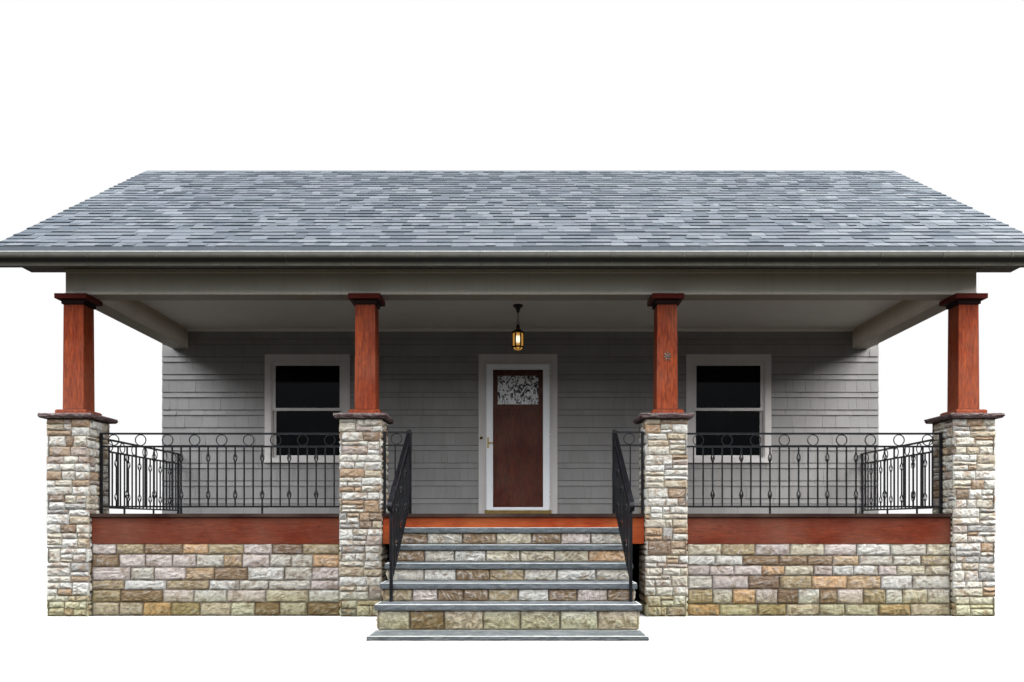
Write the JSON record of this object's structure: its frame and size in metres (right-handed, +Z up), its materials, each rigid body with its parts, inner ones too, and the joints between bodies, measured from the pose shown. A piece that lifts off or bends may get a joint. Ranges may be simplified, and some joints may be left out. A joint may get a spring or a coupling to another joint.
{
  "type": "front porch with its stair, roof and ground floor front wall, cut off at the house wall",
  "caption": "Front porch of a shingled house with stone piers, stained columns, iron railings and a hinged door pair.",
  "frame": {"origin": "on the ground, in the middle of the width and of the depth", "axes": "+X to the right as seen from the street, +Y from the street into the house, +Z up"},
  "size_m": [10.734, 4.75, 6.0628],
  "materials": {
    "bluestone": "flame finished bluestone",
    "sandstone": "rock faced sandstone blocks",
    "ledgestone": "thin courses of split ledgestone",
    "cap_stone": "chiselled purple brown stone",
    "fieldstone": "coursed foundation stone",
    "deck_wood": "dark stained boards",
    "stained_wood": "red brown stain with a satin coat",
    "trim_wood": "taupe paint",
    "ceiling_wood": "taupe paint",
    "siding": "grey painted shingles in wide and narrow courses",
    "roofing": "grey blue mineral shingles on boards",
    "gutter_metal": "dark bronze paint",
    "window_pane": "clear float glass before a dark room",
    "storm_metal": "white paint",
    "sill_metal": "dull brass",
    "door_wood": "dark red brown varnish",
    "wrought_iron": "black paint with a slight sheen",
    "lantern_metal": "dark bronze paint",
    "amber_glass": "lit seeded amber glass"
  },
  "bodies": {
    "porch": {"stair_core": "sandstone", "stair_treads": "bluestone", "foundation_front": "fieldstone", "foundation_sides": "fieldstone", "deck_floor": "deck_wood", "skirt_boards": "stained_wood", "pier_far_left": "ledgestone", "pier_left": "ledgestone", "pier_right": "ledgestone", "pier_far_right": "ledgestone", "pier_caps": "cap_stone", "column_far_left": "stained_wood", "column_left": "stained_wood", "column_right": "stained_wood", "column_far_right": "stained_wood", "front_beam": "trim_wood", "side_beams": "trim_wood", "ceiling": "ceiling_wood", "soffit": "trim_wood", "fascia": "trim_wood", "gutter": "gutter_metal", "roof": "roofing", "gable_infills": "siding", "rake_boards": "trim_wood", "wall_base": "fieldstone", "wall_left": "siding", "wall_right": "siding", "wall_over_door": "siding", "window_left": "trim_wood", "window_right": "trim_wood", "window_glass": "window_pane", "door_frame": "trim_wood", "door_sill": "sill_metal", "railing_front_left": "wrought_iron", "railing_front_right": "wrought_iron", "railing_side_left": "wrought_iron", "railing_side_right": "wrought_iron", "railing_stair_left": "wrought_iron", "railing_stair_right": "wrought_iron", "lantern_frame": "lantern_metal", "lantern_glass": "amber_glass"},
    "storm_door": {"storm_door": "storm_metal", "storm_door_glass": "window_pane"},
    "front_door": {"front_door": "door_wood", "front_door_glass": "window_pane"}
  },
  "joints": [
    {"name": "storm_door_hinge", "type": "hinge", "parent": "porch", "child": "storm_door", "pos_m": [0.4132, 2.135, 2.25], "axis": [0, 0, 1], "range_deg": [0, 90]},
    {"name": "front_door_hinge", "type": "hinge", "parent": "porch", "child": "front_door", "pos_m": [0.4072, 2.316, 2.25], "axis": [0, 0, -1], "range_deg": [0, 90]}
  ]
}
